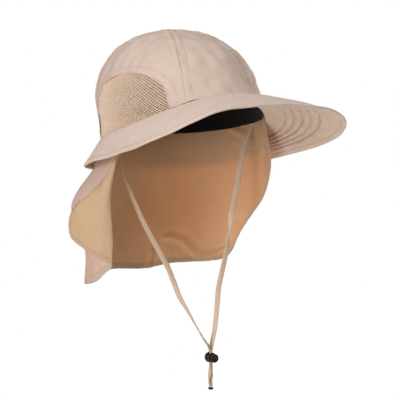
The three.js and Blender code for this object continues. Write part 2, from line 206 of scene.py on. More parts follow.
# Turn of the flat cord about its own line: share of its length, degrees
TWIST_RIGHT = [(0, 84), (0.15, 68), (0.33, 32), (0.5, 2), (0.62, -12), (0.74, 48), (0.86, 92), (1, 118)]
TWIST_LEFT = [
    (0, 12), (0.14, 42), (0.3, 8), (0.46, -6), (0.535, 66), (0.6, 150), (0.75, 176), (0.9, 220),
    (1, 232),
]
LOCK_CENTRE = (27.3, -12, -254.7)
LOCK_RADIUS = 5.2
LOCK_LENGTH = 9
BORE_RADIUS = 3
BUTTON_RADIUS = 4.6
BUTTON_THICKNESS = 2.2
PLUNGER_STROKE = 2.8
LOCK_FLOOR = 1.5
LOCK_GROOVES = (-2.2, -0.7, 0.8, 2.3)
GROOVE_RADIUS = 0.38
GROOVE_LIFT = 0.12
MOUTH_SIZE = (6.4, 4.6, 3)
DISH_RADIUS = 16
DISH_DEPTH = 0.45
CRIMP_TURN = math.radians(9)
CRIMP_SHARE = (0.92, 1, 0.92)

# The camera, in millimetres and degrees, as fitted to the photograph
CAMERA_TURN = math.radians(-27.87)
CAMERA_RISE = math.radians(3.05)
CAMERA_DISTANCE = 1500
CAMERA_SHIFT = (18.53, -87.7)
CAMERA_LENS = 128.8

# The studio, in metres: light from all round, the floor, the point that the lamps face, and each
# lamp's place to the camera's right, above and toward it, its size and its power in watts
AMBIENT = 0.09
FLOOR_SIZE = 2.6
FLOOR_HEIGHT = -0.75
AIM = (0, 0, -0.05)
LAMPS = [
    ("key", (-0.99, 0.2, 1.26), 0.7, 12.5),
    ("fill", (1.0, 1.5, 0.9), 1.4, 20),
    ("top", (-0.6, 1.7, 0.1), 1.2, 8),
    ("low", (-0.95, -0.85, 1.3), 1.5, 16),
    ("rear", (0.9, -0.8, -1.4), 1.8, 78),
]


def camera_axes():
    """Right, up and backward directions of the camera."""
    a, e = CAMERA_TURN, CAMERA_RISE
    back = Vector((math.sin(a) * math.cos(e), -math.cos(a) * math.cos(e), math.sin(e)))
    right = Vector((math.cos(a), math.sin(a), 0))
    return right, back.cross(right), back


# Sizes and colours that a user would change

def measure(name, description, default, low, high):
    return FloatProperty(
        name=name, description=description, default=default, min=low, max=high, unit="LENGTH")


def colour(name, description, code):
    return FloatVectorProperty(
        name=name, description=description, subtype="COLOR", size=3, min=0, max=1,
        default=linear(code))


class HatSizes(bpy.types.PropertyGroup):
    lace_width: measure("Cord width", "Width of the flat chin cord", 0.0055, 0.003, 0.01)
    lace_thickness: measure("Cord thickness", "Thickness of the flat chin cord", 0.0017, 0.0005, 0.003)
    net_pitch: measure(
        "Net pitch", "Distance between the threads of the net windows", 0.0023, 0.0015, 0.006)
    net_thread: measure("Net thread", "Thickness of the net's threads", 0.00145, 0.0003, 0.002)
    stitch_length: measure("Stitch length", "Visible length of one stitch", 0.0026, 0.001, 0.006)
    stitch_gap: measure("Stitch gap", "Gap between two stitches", 0.0009, 0.0003, 0.003)
    thread: measure("Sewing thread", "Thickness of the sewing thread", 0.00055, 0.0002, 0.001)
    weave: measure("Weave pitch", "Drawn pitch of the crown cloth's weave", 0.0011, 0.0004, 0.003)
    ripstop: measure(
        "Ripstop pitch", "Distance between the thicker threads of the cape cloth", 0.0034, 0.002, 0.01)


class HatColours(bpy.types.PropertyGroup):
    crown: colour("Crown cloth", "Nylon of the crown panels", "#D5BFB0")
    brim: colour("Brim cloth", "Nylon of the top of the brim", "#DFC9BC")
    # The underside is a real second layer of the brim's nylon, drawn lighter than the top: painted light
    # under the brim.
    under_painted_light: colour("Brim lining", "Nylon of the underside of the brim", "#E6CDB8")
    net: colour("Net", "Polyester net of the side windows", "#E6CCB6")
    band: colour("Sweatband", "Black knit of the sweatband", "#0B090B")
    cape_out: colour("Cape, outside", "Coated face of the cape cloth", "#F3DED0")
    # The inside colour is the cape cloth drawn warmer and deeper than the outside: painted light, for the
    # warm light that bounces round inside the cape.
    cape_in_painted_bounce: colour("Cape, inside", "Uncoated back of the cape cloth", "#F0D6AE")
    cape_glow: colour("Cape, light through", "Light that comes through the cape cloth", "#EE9238")
    hem: colour("Cape hem", "Double layer along the cape's edges", "#CDAA8A")
    lace: colour("Chin cord", "Flat woven cord", "#E3C8AC")
    # The thread is drawn darker than the cloth it sews: painted shade along the stitch rows.
    thread: colour("Sewing thread", "Polyester thread of the seams", "#CBB09C")
    plastic: colour("Cord lock", "Moulded plastic of the lock and the cord end", "#2B2625")


# Helpers for shapes

def select_none():
    if bpy.context.object and bpy.context.object.mode != "OBJECT":
        bpy.ops.object.mode_set(mode="OBJECT")
    bpy.ops.object.select_all(action="DESELECT")


def pick(obj):
    select_none()
    obj.select_set(True)
    bpy.context.view_layer.objects.active = obj


def edit(obj, step, **settings):
    """Runs one edit mode operator on the whole mesh."""
    pick(obj)
    bpy.ops.object.mode_set(mode="EDIT")
    bpy.ops.mesh.select_all(action="SELECT")
    step(**settings)
    bpy.ops.object.mode_set(mode="OBJECT")


def faced_out(obj):
    edit(obj, bpy.ops.mesh.normals_make_consistent, inside=False)


def named(name):
    """The object that was added last, under its new name."""
    obj = bpy.context.object
    obj.name = obj.data.name = name
    return obj


def apply_modifiers(obj):
    pick(obj)
    for modifier in list(obj.modifiers):
        bpy.ops.object.modifier_apply(modifier=modifier.name)


def combined(obj, other, operation):
    """Cuts another solid out of a solid, or joins it on, and uses the other one up."""
    step = obj.modifiers.new("step", "BOOLEAN")
    step.operation = operation
    step.solver = "EXACT"
    step.object = other
    apply_modifiers(obj)
    bpy.data.objects.remove(other)


def rotate_tilt(points):
    """From the crown's own frame to the hat as worn, front up."""
    c, s = math.cos(TILT), math.sin(TILT)
    x, y, z = points[..., 0], points[..., 1], points[..., 2]
    return np.stack([x, y * c + z * s, -y * s + z * c], -1)


def smooth(x):
    """An even rise from 0 to 1, level at both ends."""
    x = np.clip(x, 0, 1)
    return x * x * (3 - 2 * x)


def ridge(distance, width):
    """A rounded ridge, 1 high in the middle."""
    return np.exp(-(distance / width) ** 2)


def waves(points, length, seed):
    """Smooth random ripples of about that wavelength, mostly from -1 to 1."""
    random = np.random.default_rng(seed)
    directions = 7
    total = np.zeros(points.shape[:-1])
    for _ in range(directions):
        way = random.normal(size=3)
        way *= 2 * math.pi / length / np.linalg.norm(way) * random.uniform(0.7, 1.4)
        total += np.sin(points @ way + random.uniform(0, 2 * math.pi))
    return total / directions ** 0.5 / 1.6


def wrinkles(points, length, seed):
    """Thin creases, from 0 to 1, along the still lines of smooth ripples, only in some places."""
    return ridge(waves(points, length, seed), 0.09) * smooth(waves(points, 1.6 * length, seed + 1) * 2)


def beside(line, across, down):
    """Distance over the cloth from a line of points, all in millimetres."""
    nearest_yet = np.full(across.shape, 1e9)
    for (a0, d0), (a1, d1) in zip(line[:-1], line[1:]):
        va, vd = a1 - a0, d1 - d0
        w = np.clip(((across - a0) * va + (down - d0) * vd) / (va * va + vd * vd), 0, 1)
        nearest_yet = np.minimum(nearest_yet, np.hypot(across - a0 - w * va, down - d0 - w * vd))
    return nearest_yet


def normals_of(grid):
    """Unit normals over a grid of points."""
    n = np.cross(np.gradient(grid, axis=0), np.gradient(grid, axis=1))
    return n / np.maximum(np.linalg.norm(n, axis=-1, keepdims=True), 1e-9)


def arc_lengths(grid):
    """Distances over the surface, in metres: across from the middle column, and up each column."""
    across = np.linalg.norm(np.diff(grid, axis=0), axis=-1)
    across = np.concatenate([np.zeros((1, grid.shape[1])), np.cumsum(across, 0)])
    across -= across[grid.shape[0] // 2]
    up = np.linalg.norm(np.diff(grid, axis=1), axis=-1)
    up = np.concatenate([np.zeros((grid.shape[0], 1)), np.cumsum(up, 1)], 1)
    return np.stack([across, up], -1) * MM


def flat_grid(name, columns, rows, size):
    """A grid primitive, and the places of its vertices."""
    select_none()
    bpy.ops.mesh.primitive_grid_add(x_subdivisions=columns, y_subdivisions=rows, size=size)
    obj = named(name)
    at = np.zeros(len(obj.data.vertices) * 3)
    obj.data.vertices.foreach_get("co", at)
    return obj, at.reshape(-1, 3)


def cloth_from(name, grid, merged=False):
    """A grid primitive laid on a grid of points given in millimetres, with its true lengths as UVs."""
    nu, nv = grid.shape[0] - 1, grid.shape[1] - 1
    obj, at = flat_grid(name, nu, nv, 2)
    mesh = obj.data
    i = np.rint((at[:, 0] + 1) / 2 * nu).astype(int)
    j = np.rint((at[:, 1] + 1) / 2 * nv).astype(int)
    mesh.vertices.foreach_set("co", (grid[i, j] * MM).ravel())
    lengths = arc_lengths(grid)[i, j]
    corner = np.zeros(len(mesh.loops), int)
    mesh.loops.foreach_get("vertex_index", corner)
    mesh.uv_layers[0].name = "cloth"
    mesh.uv_layers[0].data.foreach_set("uv", lengths[corner].ravel())
    mesh.update()
    if merged:
        edit(obj, bpy.ops.mesh.remove_doubles, threshold=1e-6)
    return obj


def lined(obj, materials):
    """Puts a piece's materials on before its wall is made, so that its two sides differ."""
    for material in materials:
        obj.data.materials.append(material)


def walled(obj, thickness, offset, group=""):
    """Gives a cloth a thickness in millimetres, with the next material on its other side."""
    wall = obj.modifiers.new("wall", "SOLIDIFY")
    wall.thickness = thickness * MM
    wall.offset = offset
    wall.vertex_group = group
    wall.material_offset = 1
    apply_modifiers(obj)


def dressed(obj, materials=(), body="hat", node=None, angle=50):
    """Gives a finished piece its materials and their slots, its shading and its body, and hides the CAD
    part that it stands for.
    """
    if not obj.data.materials:
        lined(obj, materials)
    pick(obj)
    bpy.ops.object.shade_smooth_by_angle(angle=math.radians(angle))
    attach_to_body(obj, body)
    if node:
        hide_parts(node)
    return obj


# The dome, the brim and the cape as surfaces

def seam_height(t):
    """Height of the seam between crown and brim at an angle round the head."""
    side = np.abs(np.sin(t))
    front = SEAM_RISE_FRONT - (SEAM_RISE_FRONT + SEAM_DROP_SIDE) * side ** SEAM_BEND
    rear = -SEAM_DROP_REAR - (SEAM_DROP_SIDE - SEAM_DROP_REAR) * side ** 2
    return np.where(np.cos(t) > 0, front, rear)


def band_edge_height(t):
    """Height of the sweatband's lower edge at an angle round the head."""
    from_front = np.degrees(np.arccos(np.clip(np.cos(t), -1, 1)))
    angles, drops = np.array(BAND_EDGE, float).T
    k = np.clip(np.searchsorted(angles, from_front) - 1, 0, len(angles) - 2)
    share = smooth((from_front - angles[k]) / (angles[k + 1] - angles[k]))
    return -SEAM_DROP_SIDE * (drops[k] + (drops[k + 1] - drops[k]) * share)


def dome_back(height, top):
    """How far back the middle of the dome lies at a height."""
    share = np.clip(height, 0, top) / top
    lean = 1 - np.exp(-((share / LEAN_REACH) ** LEAN_BEND))
    return FRONT_LEAN * lean + APEX_SHIFT * share ** APEX_BEND


def dome_size(height, top):
    """Share of the crown's width that is left at a height."""
    share = np.clip(height, 0, top) / top
    return np.sqrt(np.maximum(1 - share ** CROWN_SHOULDER, 0))


def crown_point(t, height, inset):
    """Point of the crown at an angle round the head."""
    top = CROWN_HEIGHT - inset
    size = dome_size(height, top)
    x = (HEAD_HALF_WIDTH - inset) * size * np.sin(t)
    y = -(HEAD_HALF_LENGTH - inset) * size * np.cos(t) + dome_back(height, top)
    return np.stack([x, y, height + 0 * x], -1)


def angle_seen(phi, height):
    """Angle round the head of the point that is seen at angle phi from the panels' meeting point,
    found by halving the range."""
    low = np.full(np.broadcast(phi, height).shape, -math.pi)
    high = low + 2 * math.pi
    for _ in range(40):
        middle = (low + high) / 2
        p = crown_point(middle, height, 0)
        less = np.arctan2(p[..., 0], TIP_Y - p[..., 1]) < phi
        low, high = np.where(less, middle, low), np.where(less, high, middle)
    return (low + high) / 2


def one_turn(phi):
    """The same angle between minus half a turn and half a turn."""
    return (phi + math.pi) % (2 * math.pi) - math.pi


def close_spacing(length, count, fine):
    """Shares from 0 to 1 with the given distances from both ends, even in between."""
    fine = np.array(fine) / length
    inner = np.linspace(fine[-1], 1 - fine[-1], count)
    return np.concatenate([fine[:-1], inner, (1 - fine[:-1])[::-1]])


def panel_grid(start, end, columns, levels):
    """Grid over a panel of the dome between two seams, up to where the panels meet."""
    share = close_spacing((end - start) * CROWN_RADIUS, columns, SEAM_STEPS)
    phi = (start + (end - start) * share)[:, None]
    turned = one_turn(phi)
    base = seam_height(angle_seen(turned, 0 * phi)) + CROWN_LIFT
    rise = np.sin(np.linspace(0, 1, levels + 1) * math.pi / 2)
    height = base + (CROWN_HEIGHT - base) * rise
    return phi + 0 * height, height, crown_point(angle_seen(turned, height), height, 0)


def window_distance(y, z):
    """Distance outward from the edge of the net window, seen from the side."""
    rise = WINDOW_TOP - WINDOW_SILL
    a = np.abs(y - WINDOW_MIDDLE) / WINDOW_HALF
    b = np.maximum(z - WINDOW_SILL, 0) / rise
    n = WINDOW_ARCH
    level = np.maximum(a ** n + b ** n, 1e-9) ** (1 / n)
    slope = level ** (1 - n) * np.hypot(a ** (n - 1) / WINDOW_HALF, b ** (n - 1) / rise)
    return (level - 1) / np.maximum(slope, 1e-6)


def window_line(margin, count=120):
    """Points of the window's edge in the side view: y and height."""
    across = -np.cos(np.linspace(0, math.pi, count + 1))
    up = (1 - np.abs(across) ** WINDOW_ARCH) ** (1 / WINDOW_ARCH)
    y = WINDOW_MIDDLE + (WINDOW_HALF + margin) * across
    return y, WINDOW_SILL + (WINDOW_TOP + margin - WINDOW_SILL) * up


def dome_from_side(y, z, inset, side):
    """Point of the dome with that y and height, on the left (1) or the right (-1)."""
    top = CROWN_HEIGHT - inset
    size = np.maximum(dome_size(z, top), 1e-6)
    c = np.clip((dome_back(z, top) - y) / ((HEAD_HALF_LENGTH - inset) * size), -1, 1)
    x = side * (HEAD_HALF_WIDTH - inset) * size * np.sqrt(1 - c * c)
    return np.stack([x, y + 0 * x, z + 0 * x], -1)


def brim_point(t, share):
    """Point of the brim's middle surface, from its root at share 0 to its edge at share 1."""
    side, ahead = np.sin(t), np.cos(t)
    front = ahead > 0
    bend = np.where(front, BRIM_SQUARENESS, 1)
    half_width = HEAD_HALF_WIDTH + BRIM_SIDE_REACH
    half_length = HEAD_HALF_LENGTH + np.where(front, BRIM_FRONT_REACH, BRIM_REAR_REACH)
    edge_x = half_width * np.sign(side) * np.abs(side) ** bend
    edge_y = -half_length * np.sign(ahead) * np.abs(ahead) ** bend
    wide = np.abs(edge_x) / half_width
    near_drop = np.where(front, BRIM_FRONT_DROP, BRIM_REAR_DROP)
    edge_z = -near_drop - (BRIM_SIDE_DROP - near_drop) * wide ** np.where(front, BRIM_ARCH, 2)
    root = crown_point(t, seam_height(t), CROWN_WALL / 2)
    edge = np.stack([edge_x, edge_y, edge_z], -1)
    bow = BRIM_BOW * np.maximum(ahead, 0) * np.sin(np.clip(share, 0, 1) * math.pi)
    point = root + (edge - root) * np.asarray(share)[..., None]
    point[..., 2] += bow
    return point


def even_angles(columns):
    """Angles round the head that space the brim's columns evenly."""
    t = np.linspace(0, 2 * math.pi, 7201)
    line = brim_point(t, np.full_like(t, 0.7))
    along = np.concatenate([[0], np.cumsum(np.linalg.norm(np.diff(line, axis=0), axis=1))])
    return np.interp(np.linspace(0, along[-1], columns + 1), along, t)


def spline(points, count):
    """Centripetal curve through points, with count steps, even in the points' own numbering."""
    points = np.asarray(points, float)
    last = len(points) - 1
    at = np.linspace(0, last, count + 1)
    k = np.minimum(at.astype(int), last - 1)
    w = (at - k).reshape((-1,) + (1,) * (points.ndim - 1))
    before = np.concatenate([2 * points[:1] - points[1:2], points, 2 * points[-1:] - points[-2:-1]])
    p0, p1, p2, p3 = before[k], before[k + 1], before[k + 2], before[k + 3]

    def gap(a, b):
        return np.maximum(np.linalg.norm(a - b, axis=-1, keepdims=True) ** 0.5, 1e-4)
    d0, d1, d2 = gap(p0, p1), gap(p1, p2), gap(p2, p3)
    t1 = ((p1 - p0) / d0 - (p2 - p0) / (d0 + d1) + (p2 - p1) / d1) * d1
    t2 = ((p2 - p1) / d1 - (p3 - p1) / (d1 + d2) + (p3 - p2) / d2) * d1
    return (p1 + t1 * w + (-3 * p1 + 3 * p2 - 2 * t1 - t2) * w ** 2
            + (2 * p1 - 2 * p2 + t1 + t2) * w ** 3)


def cape_grid(columns, levels):
    """The cape's cloth as a smooth surface through its fold lines."""
    lines = []
    middle = CAPE_INSET + CAPE_THICKNESS / 2
    for attach, *angles_outs, drop in CAPE_ROWS:
        t = math.radians(attach)
        edge = float(band_edge_height(t))
        heights = [edge + CAPE_TUCK, edge, min(edge, float(seam_height(t))) - BELOW_SEAM]
        points = [rotate_tilt(crown_point(t, h, middle)) for h in heights]
        for level, angle, out in zip(CAPE_LEVELS, angles_outs[:4], angles_outs[4:]):
            a, reach = math.radians(angle), out * CAPE_FLARE - middle
            points.append(np.array([
                (HEAD_HALF_WIDTH + reach) * math.sin(a),
                -(HEAD_HALF_LENGTH + reach) * math.cos(a),
                -drop * CAPE_DROP * level,
            ]))
        lines.append(spline(points, levels))
    return spline(np.array(lines), columns)


# Stitches

def resampled(line, step):
    """Points at even steps along a line."""
    line = np.asarray(line, float)
    along = np.concatenate([[0], np.cumsum(np.linalg.norm(np.diff(line, axis=0), axis=1))])
    at = np.arange(step / 2, along[-1], step)
    return np.stack([np.interp(at, along, line[:, k]) for k in range(3)], -1)


def stitches(name, cloth, lines):
    """Rows of sewing stitches along lines in millimetres, laid on the surface of a finished piece."""
    sizes = bpy.context.scene.hat_sizes
    pitch = (sizes.stitch_length + sizes.stitch_gap) / MM
    half, thick = sizes.stitch_length / MM / 2, sizes.thread / MM / 2
    tree = BVHTree.FromObject(cloth, bpy.context.evaluated_depsgraph_get())
    select_none()
    bpy.ops.mesh.primitive_uv_sphere_add(segments=6, ring_count=4, radius=1)
    obj = named(name)
    one = np.array([v.co for v in obj.data.vertices])
    faces = [tuple(p.vertices) for p in obj.data.polygons]
    verts, polygons = [], []
    for line in lines:
        found = [tree.find_nearest(Vector(p * MM)) for p in resampled(line, pitch)]
        place = np.array([f[0] for f in found]) / MM
        normal = np.array([f[1] for f in found])
        ahead = np.gradient(place, axis=0)
        ahead -= (ahead * normal).sum(1, keepdims=True) * normal
        ahead /= np.maximum(np.linalg.norm(ahead, axis=1, keepdims=True), 1e-9)
        for p, n, a, b in zip(place, normal, ahead, np.cross(normal, ahead)):
            first = len(verts) * len(one)
            verts.append(p + n * (thick - STITCH_SINK) + np.outer(one[:, 2] * half, a)
                         + np.outer(one[:, 0] * thick, b) + np.outer(one[:, 1] * thick, n))
            polygons += [tuple(first + k for k in f) for f in faces]
    mesh = bpy.data.meshes.new(name)
    mesh.from_pydata((np.concatenate(verts) * MM).tolist(), [], polygons)
    old, obj.data = obj.data, mesh
    bpy.data.meshes.remove(old)
    faced_out(obj)
    # The thread's colour is darker than the cloth: painted shade along the rows of stitches.
    thread = shared("polyester_thread", spun_thread, bpy.context.scene.hat_colours.thread)
    return dressed(obj, [thread])


# Materials

def node(tree, kind, inputs=None, **settings):
    """Adds a node with its settings, values and links."""
    made = tree.nodes.new(kind)
    for key, value in settings.items():
        setattr(made, key, value)
    for key, value in (inputs or {}).items():
        if isinstance(value, bpy.types.NodeSocket):
            tree.links.new(value, made.inputs[key])
        else:
            made.inputs[key].default_value = value
    return made


def shades(tree, factor, low, high):
    """Colour between two tones of a base colour."""
    ramp = node(tree, "ShaderNodeValToRGB", {"Fac": factor})
    ramp.color_ramp.elements[0].color = (*low, 1)
    ramp.color_ramp.elements[1].color = (*high, 1)
    ramp.color_ramp.elements[0].position = 0.3
    ramp.color_ramp.elements[1].position = 0.7
    return ramp.outputs["Color"]


def tone(base, share):
    """A lighter or darker shade of a colour."""
    return tuple(min(1, c * share) for c in base)


def new_material(name):
    material = bpy.data.materials.new(name)
    material.use_nodes = True
    tree = material.node_tree
    tree.nodes.clear()
    return material, tree


def cloth_uv(tree):
    return node(tree, "ShaderNodeUVMap", uv_map="cloth").outputs["UV"]


def own_place(tree):
    return node(tree, "ShaderNodeTexCoord").outputs["Object"]


def noise(tree, place, scale, detail=2.0):
    values = {"Vector": place, "Scale": scale, "Detail": detail}
    return node(tree, "ShaderNodeTexNoise", values).outputs["Fac"]


def maths(tree, operation, *values):
    return node(tree, "ShaderNodeMath", dict(enumerate(values)), operation=operation).outputs[0]


def bumped(tree, height, strength, distance, **below):
    values = {"Height": height, "Strength": strength, "Distance": distance, **below}
    return node(tree, "ShaderNodeBump", values).outputs[0]


def crossing(tree, uv, pitch, **values):
    """Waves across and along a cloth, at a pitch in metres."""
    values = {"Vector": uv, "Scale": METRE_WAVE / pitch, **values}
    return [node(tree, "ShaderNodeTexWave", values, bands_direction=way).outputs["Fac"] for way in "XY"]


def ended(material, tree, values):
    """Ends a material in a principled shader with these values."""
    shader = node(tree, "ShaderNodeBsdfPrincipled", values)
    node(tree, "ShaderNodeOutputMaterial", {"Surface": shader.outputs[0]})
    return material


def woven_nylon(name, base, pitch, ripstop=0.0, sheen=0.25, glow=None):
    """Nylon cloth, plain woven and lightly brushed: matt, with fine crossing threads, a soft bloom at
    grazing angles and a slightly uneven dye. The real threads are too fine to show, so the weave is
    drawn coarser. A ripstop has a thicker thread every few millimetres. The single layer of the cape
    lets some light through, which the dye turns warm."""
    material, tree = new_material(name)
    uv = cloth_uv(tree)
    fibres = noise(tree, uv, 900.0)
    speck = maths(tree, "ADD", noise(tree, own_place(tree), 28.0, 3.0), fibres)
    dye = shades(tree, maths(tree, "MULTIPLY", speck, 0.5), tone(base, 0.9), tone(base, 1.07))
    weave = maths(tree, "MAXIMUM", *crossing(tree, uv, pitch, Distortion=0.4))
    if ripstop:
        grid = maths(tree, "MAXIMUM", *(
            maths(tree, "POWER", wave, 9.0) for wave in crossing(tree, uv, ripstop)))
        weave = maths(tree, "MULTIPLY_ADD", weave, 0.7, grid)
        dye = node(tree, "ShaderNodeMix", {0: grid, 6: dye, 7: (*tone(base, 0.93), 1)},
                   data_type="RGBA").outputs[2]
    bump = bumped(tree, fibres, 0.3, THREAD_RELIEF, Normal=bumped(tree, weave, 0.5, THREAD_RELIEF))
    surface = node(tree, "ShaderNodeBsdfPrincipled", {
        "Base Color": dye, "Roughness": 0.72, "IOR": 1.5, "Specular IOR Level": 0.3, "Sheen Weight": sheen,
        "Sheen Roughness": 0.5, "Sheen Tint": (*tone(base, 1.1), 1), "Normal": bump}).outputs[0]
    if glow:
        through = node(tree, "ShaderNodeBsdfTranslucent", {"Color": (*glow, 1), "Normal": bump})
        surface = node(tree, "ShaderNodeMixShader", {
            0: CAPE_LETS_THROUGH, 1: surface, 2: through.outputs[0]}).outputs[0]
    node(tree, "ShaderNodeOutputMaterial", {"Surface": surface})
    return material


def knitted_terry(name, base):
    """Polyester terry knit: deep black, very matt, with rows of small loops about 1.3 mm apart that
    catch a little light on their tops."""
    material, tree = new_material(name)
    uv = cloth_uv(tree)
    loops = node(tree, "ShaderNodeTexVoronoi", {"Vector": uv, "Scale": 1 / 0.0013, "Randomness": 0.6})
    fuzz = noise(tree, uv, 1500.0)
    height = maths(tree, "MULTIPLY_ADD", loops.outputs["Distance"], -1.0, fuzz)
    return ended(material, tree, {
        "Base Color": shades(tree, fuzz, tone(base, 0.7), tone(base, 1.9)), "Roughness": 0.95,
        "Specular IOR Level": 0.2, "Sheen Weight": 0.06, "Sheen Roughness": 0.6,
        "Normal": bumped(tree, height, 0.8, 0.0004)})


def spun_thread(name, base):
    """Polyester yarn of the net and the seams: satin, with fine uneven fibres."""
    material, tree = new_material(name)
    fuzz = noise(tree, own_place(tree), 1400.0)
    return ended(material, tree, {
        "Base Color": shades(tree, fuzz, tone(base, 0.86), tone(base, 1.08)), "Roughness": 0.6,
        "Specular IOR Level": 0.35, "Sheen Weight": 0.15, "Normal": bumped(tree, fuzz, 0.4, 0.0001)})


def woven_lace(name, base):
    """Flat polyester cord, woven in a herringbone: two banks of slanting ribs 1.4 mm apart that meet
    along its middle, with a soft satin gloss. Its colour is lighter on the ribs and darker between
    them: painted shade in the grooves."""
    material, tree = new_material(name)
    parts = node(tree, "ShaderNodeSeparateXYZ", {"Vector": cloth_uv(tree)})
    slant = maths(tree, "ADD", parts.outputs["X"], maths(tree, "PINGPONG", parts.outputs["Y"], 0.0031))
    wave = maths(tree, "SINE", maths(tree, "MULTIPLY", slant, 2 * math.pi / 0.0014))
    ribs_and_painted_shade = maths(tree, "MULTIPLY_ADD", wave, 0.5, 0.5)
    return ended(material, tree, {
        # The colour follows the rib height, darker in the grooves: painted shade.
        "Base Color": shades(tree, ribs_and_painted_shade, tone(base, 0.92), tone(base, 1.03)), "Roughness": 0.6,
        "Specular IOR Level": 0.35, "Sheen Weight": 0.2, "Normal": bumped(tree, ribs_and_painted_shade, 0.6, 0.00025)})


def moulded_plastic(name, base):
    """Injection moulded acetal: nearly black, with a soft gloss and a faint orange peel from the
    mould, and handling wear that varies the gloss."""
    material, tree = new_material(name)
    place = own_place(tree)
    wear = noise(tree, place, 220.0, 3.0)
    gloss = node(tree, "ShaderNodeMapRange", {"Value": wear, "To Min": 0.3, "To Max": 0.5})
    return ended(material, tree, {
        "Base Color": shades(tree, wear, tone(base, 0.85), tone(base, 1.3)), "IOR": 1.48,
        "Roughness": gloss.outputs["Result"],
        "Normal": bumped(tree, noise(tree, place, 900.0), 0.25, 0.0001)})


def matt_paper(name, code):
    """Seamless studio paper: plain, matt and nearly white."""
    material, tree = new_material(name)
    return ended(material, tree, {
        "Base Color": (*linear(code), 1), "Roughness": 0.9, "Specular IOR Level": 0.1})


def shared(name, make, *args, **kwargs):
    """A material by name, made the first time that it is asked for."""
    return bpy.data.materials.get(name) or make(name, *args, **kwargs)


# Operators, one for each piece or group of like pieces

class HAT_OT_camera(bpy.types.Operator):
    """Add the camera at the photograph's viewing angle"""
    bl_idname = "hat.camera"
    bl_label = "Camera"

    def execute(self, context):
        right, up, back = camera_axes()
        select_none()
        place = right * CAMERA_SHIFT[0] + up * CAMERA_SHIFT[1] + back * CAMERA_DISTANCE
        turn = Matrix((right, up, back)).transposed().to_euler()
        bpy.ops.object.camera_add(location=place * MM, rotation=turn)
        camera = bpy.context.object
        camera.data.sensor_width = 36
        camera.data.lens = CAMERA_LENS
        camera.data.clip_end = 50
        context.scene.camera = camera
        return {"FINISHED"}


def ribbon_grid(route, twist, width, thickness, steps):
    """Flat cord as a closed tube: ring by ring along its route, turned by the twist table."""
    line = spline(np.array(route, float), steps)
    ahead = np.gradient(line, axis=0)
    ahead /= np.linalg.norm(ahead, axis=1, keepdims=True)
    back = np.array(camera_axes()[2])
    toward = back - (ahead @ back)[:, None] * ahead
    toward /= np.linalg.norm(toward, axis=1, keepdims=True)
    at, degrees = np.array(twist, float).T
    turn = np.radians(np.interp(np.linspace(0, 1, steps + 1), at, degrees))
    turn = np.convolve(np.pad(turn, 4, mode="edge"), np.ones(9) / 9, "valid")
    wide = np.cos(turn)[:, None] * np.cross(toward, ahead) + np.sin(turn)[:, None] * toward
    thin = np.cross(ahead, wide)
    around = np.linspace(0, 2 * math.pi, 17)
    x = np.sign(np.cos(around)) * np.abs(np.cos(around)) ** 0.7 * width / 2
    y = np.sign(np.sin(around)) * np.abs(np.sin(around)) ** 0.6 * thickness / 2
    grid = line[:, None, :] + wide[:, None, :] * x[None, :, None] + thin[:, None, :] * y[None, :, None]
    return line, grid


def closed_ends(obj):
    """Fills both ends of a tube and turns its faces outward."""
    pick(obj)
    bpy.ops.object.mode_set(mode="EDIT")
    bpy.ops.mesh.select_all(action="DESELECT")
    bpy.ops.mesh.select_mode(type="EDGE")
    bpy.ops.mesh.select_non_manifold(extend=False)
    bpy.ops.mesh.fill()
    bpy.ops.mesh.select_all(action="SELECT")
    bpy.ops.mesh.normals_make_consistent(inside=False)
    bpy.ops.object.mode_set(mode="OBJECT")


class HAT_OT_cord(bpy.types.Operator):
    """Build the flat chin cord and its two ends"""
    bl_idname = "hat.cord"
    bl_label = "Chin cord"

    def execute(self, context):
        sizes, colours = context.scene.hat_sizes, context.scene.hat_colours
        woven = shared("woven_polyester_cord", woven_lace, colours.lace)
        width, thickness = sizes.lace_width / MM, sizes.lace_thickness / MM
        tails = []
        for number, sway in enumerate(TAIL_SWAY):
            route = [(x + dx, y + 0.5 - number, z) for dx, (x, y, z) in zip(sway, LACE_TAILS)]
            twist = [(0, 20 + 90 * number), (0.5, 120 + 90 * number), (1, 250 + 90 * number)]
            _, grid = ribbon_grid(route, twist, width * 0.62, thickness * 0.9, 36)
            tail = cloth_from(f"cord_end_{number + 1}", grid, merged=True)
            closed_ends(tail)
            tails.append(tail)
        pick(tails[0])
        tails[1].select_set(True)
        bpy.ops.object.join()
        dressed(named("lace_ends"), [woven], node="cord_tails")

        for name, cad, route, twist, fittings in (
            ("lace_right", "chin_cord_right", LACE_RIGHT, TWIST_RIGHT, ("lace_ends", "cord_crimp")),
            ("lace_left", "chin_cord_left", LACE_LEFT, TWIST_LEFT, ("lock_barrel", "lock_button")),
        ):
            line, grid = ribbon_grid(route, twist, width, thickness, 150)
            lace = cloth_from(name, grid, merged=True)
            closed_ends(lace)
            dressed(lace, [woven], node=cad)
        return {"FINISHED"}


def piping(name, route, width, material):
    """A round piped edge along a line in millimetres."""
    _, grid = ribbon_grid(route, [(0, 0), (1, 0)], width, width, 150)
    obj = cloth_from(name, grid, merged=True)
    closed_ends(obj)
    return dressed(obj, [material])


